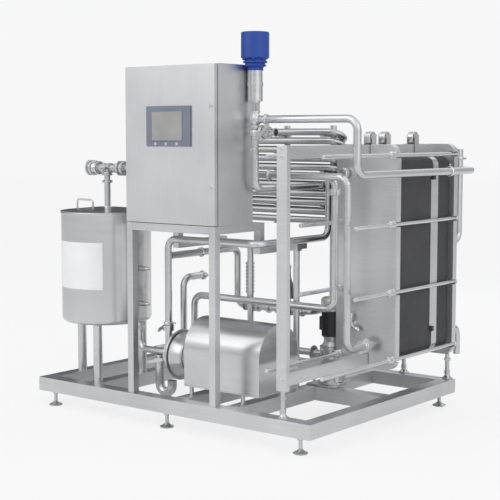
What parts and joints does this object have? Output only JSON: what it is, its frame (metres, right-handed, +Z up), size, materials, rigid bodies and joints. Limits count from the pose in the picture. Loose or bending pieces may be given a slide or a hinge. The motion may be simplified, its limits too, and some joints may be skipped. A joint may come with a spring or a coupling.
{
  "type": "plate pasteurizer",
  "caption": "Skid-mounted plate pasteurizer with balance tank, shrouded feed pump, control cabinet, holding coil, diversion valve and gasketed plate heat exchanger",
  "frame": {"origin": "middle of the outline on the floor", "axes": "x along the operator's side to the right, y to the back of the machine, z up"},
  "size_m": [1.967, 1.4669, 2.019],
  "materials": {
    "satin_steel": "fine brushed stainless steel",
    "polished_steel": "bright satin stainless steel",
    "cabinet_steel": "brushed stainless sheet",
    "fitting_steel": "turned stainless steel",
    "foot_steel": "machined stainless steel",
    "lever_steel": "satin stainless steel",
    "probe_steel": "turned stainless steel",
    "rod_steel": "drawn stainless steel",
    "shaft_steel": "ground steel",
    "cast_pump_grey": "grey machine paint",
    "black_motor": "black paint",
    "dark_valve": "dark grey paint",
    "blue_plastic": "moulded blue plastic",
    "panel_plastic": "dark moulded bezel",
    "key_plastic": "moulded keys",
    "module_plastic": "grey moulded housings",
    "dark_gasket_plates": "steel plates edged with dark gaskets",
    "roller_plastic": "pale roller",
    "edge_plastic": "dark strips and blocks",
    "dark_plastic": "black moulded plastic"
  },
  "bodies": {
    "machine": {"balance_tank": "polished_steel", "base_frame": "satin_steel", "butterfly_valve_bodies": "polished_steel", "cabinet_stand": "satin_steel", "carrying_bar": "satin_steel", "coil_rack": "satin_steel", "connecting_grid": "satin_steel", "control_cabinet": "cabinet_steel", "control_modules": "module_plastic", "control_valves": "dark_valve", "delivery_line": "polished_steel", "diversion_valve_body": "polished_steel", "drain_line": "polished_steel", "edge_strips": "edge_plastic", "feed_pump_casing": "polished_steel", "feed_pump_motor": "cast_pump_grey", "filling_line": "polished_steel", "frame_plate": "satin_steel", "guide_bar": "satin_steel", "heat_exchanger_post": "satin_steel", "holding_coil": "polished_steel", "hot_water_line": "polished_steel", "hot_water_motor": "black_motor", "hot_water_pump": "cast_pump_grey", "level_probes": "probe_steel", "levelling_feet": "foot_steel", "main_line": "polished_steel", "plate_feed_line": "polished_steel", "plate_pack_front": "dark_gasket_plates", "plate_pack_rear": "dark_gasket_plates", "pressure_plate": "satin_steel", "pump_adapter": "cast_pump_grey", "pump_base": "satin_steel", "pump_shroud": "polished_steel", "return_line": "polished_steel", "roller_brackets": "satin_steel", "spray_ball": "polished_steel", "suction_line": "polished_steel", "tank_legs": "polished_steel", "tie_rod_nuts": "fitting_steel", "tie_rods": "rod_steel", "unions_and_clamps": "fitting_steel", "valve_control_head": "blue_plastic", "valve_cylinder": "polished_steel"},
    "cabinet_door": {"cabinet_door": "cabinet_steel", "touch_panel": "panel_plastic"},
    "key_1": {"panel_key_1": "key_plastic"},
    "key_2": {"panel_key_2": "key_plastic"},
    "key_3": {"panel_key_3": "key_plastic"},
    "tank_lid": {"tank_lid": "polished_steel"},
    "feed_pump_rotor": {"feed_pump_rotor": "shaft_steel"},
    "hot_water_rotor": {"hot_water_rotor": "shaft_steel"},
    "valve_stem": {"valve_stem": "shaft_steel"},
    "drain_valve": {"drain_valve_lever": "lever_steel"},
    "delivery_valve": {"delivery_valve_lever": "lever_steel"},
    "divert_valve": {"divert_valve_lever": "lever_steel"},
    "hand_wheel": {"hand_wheel": "dark_plastic"},
    "roller_1": {"roller_1": "roller_plastic"},
    "roller_2": {"roller_2": "roller_plastic"},
    "roller_3": {"roller_3": "roller_plastic"}
  },
  "joints": [
    {"name": "door_hinge", "type": "hinge", "parent": "machine", "child": "cabinet_door", "pos_m": [-0.2915, -0.7055, 1.457], "axis": [0, 0, -1], "range_deg": [0, 100]},
    {"name": "key_1_press", "type": "slide", "parent": "cabinet_door", "child": "key_1", "axis": [0, 1, 0], "range_m": [0, 0.002], "stiffness_N_per_m": 600},
    {"name": "key_2_press", "type": "slide", "parent": "cabinet_door", "child": "key_2", "axis": [0, 1, 0], "range_m": [0, 0.002], "stiffness_N_per_m": 600},
    {"name": "key_3_press", "type": "slide", "parent": "cabinet_door", "child": "key_3", "axis": [0, 1, 0], "range_m": [0, 0.002], "stiffness_N_per_m": 600},
    {"name": "lid_lift", "type": "slide", "parent": "machine", "child": "tank_lid", "axis": [0, 0, 1], "range_m": [0, 0.08]},
    {"name": "feed_pump_spin", "type": "hinge", "parent": "machine", "child": "feed_pump_rotor", "pos_m": [-0.2295, -0.4035, 0.323], "axis": [1, 0, 0], "continuous": true},
    {"name": "hot_water_spin", "type": "hinge", "parent": "machine", "child": "hot_water_rotor", "pos_m": [0.4385, 0.1065, 0.3], "axis": [0, 0, 1], "continuous": true},
    {"name": "stem_lift", "type": "slide", "parent": "machine", "child": "valve_stem", "axis": [0, 0, 1], "range_m": [0, 0.018], "stiffness_N_per_m": 400, "springref_m": -0.02},
    {"name": "drain_valve_turn", "type": "hinge", "parent": "machine", "child": "drain_valve", "pos_m": [-0.3635, -0.4035, 0.274], "axis": [0, -1, 0], "range_deg": [0, 90]},
    {"name": "delivery_valve_turn", "type": "hinge", "parent": "machine", "child": "delivery_valve", "pos_m": [-0.2245, -0.4835, 0.476], "axis": [-1, 0, 0], "range_deg": [0, 90]},
    {"name": "divert_valve_turn", "type": "hinge", "parent": "machine", "child": "divert_valve", "pos_m": [0.4205, -0.4555, 1.52], "axis": [0, -1, 0], "range_deg": [0, 90]},
    {"name": "hand_wheel_turn", "type": "hinge", "parent": "machine", "child": "hand_wheel", "pos_m": [0.6285, -0.0005, 0.52], "axis": [0, 1, 0], "continuous": true},
    {"name": "roller_1_turn", "type": "hinge", "parent": "machine", "child": "roller_1", "pos_m": [0.7015, 0.0515, 1.4923], "axis": [1, 0, 0], "continuous": true},
    {"name": "roller_2_turn", "type": "hinge", "parent": "machine", "child": "roller_2", "pos_m": [0.7015, 0.1915, 1.4923], "axis": [1, 0, 0], "continuous": true},
    {"name": "roller_3_turn", "type": "hinge", "parent": "machine", "child": "roller_3", "pos_m": [0.7015, 0.4785, 1.4923], "axis": [1, 0, 0], "continuous": true}
  ]
}
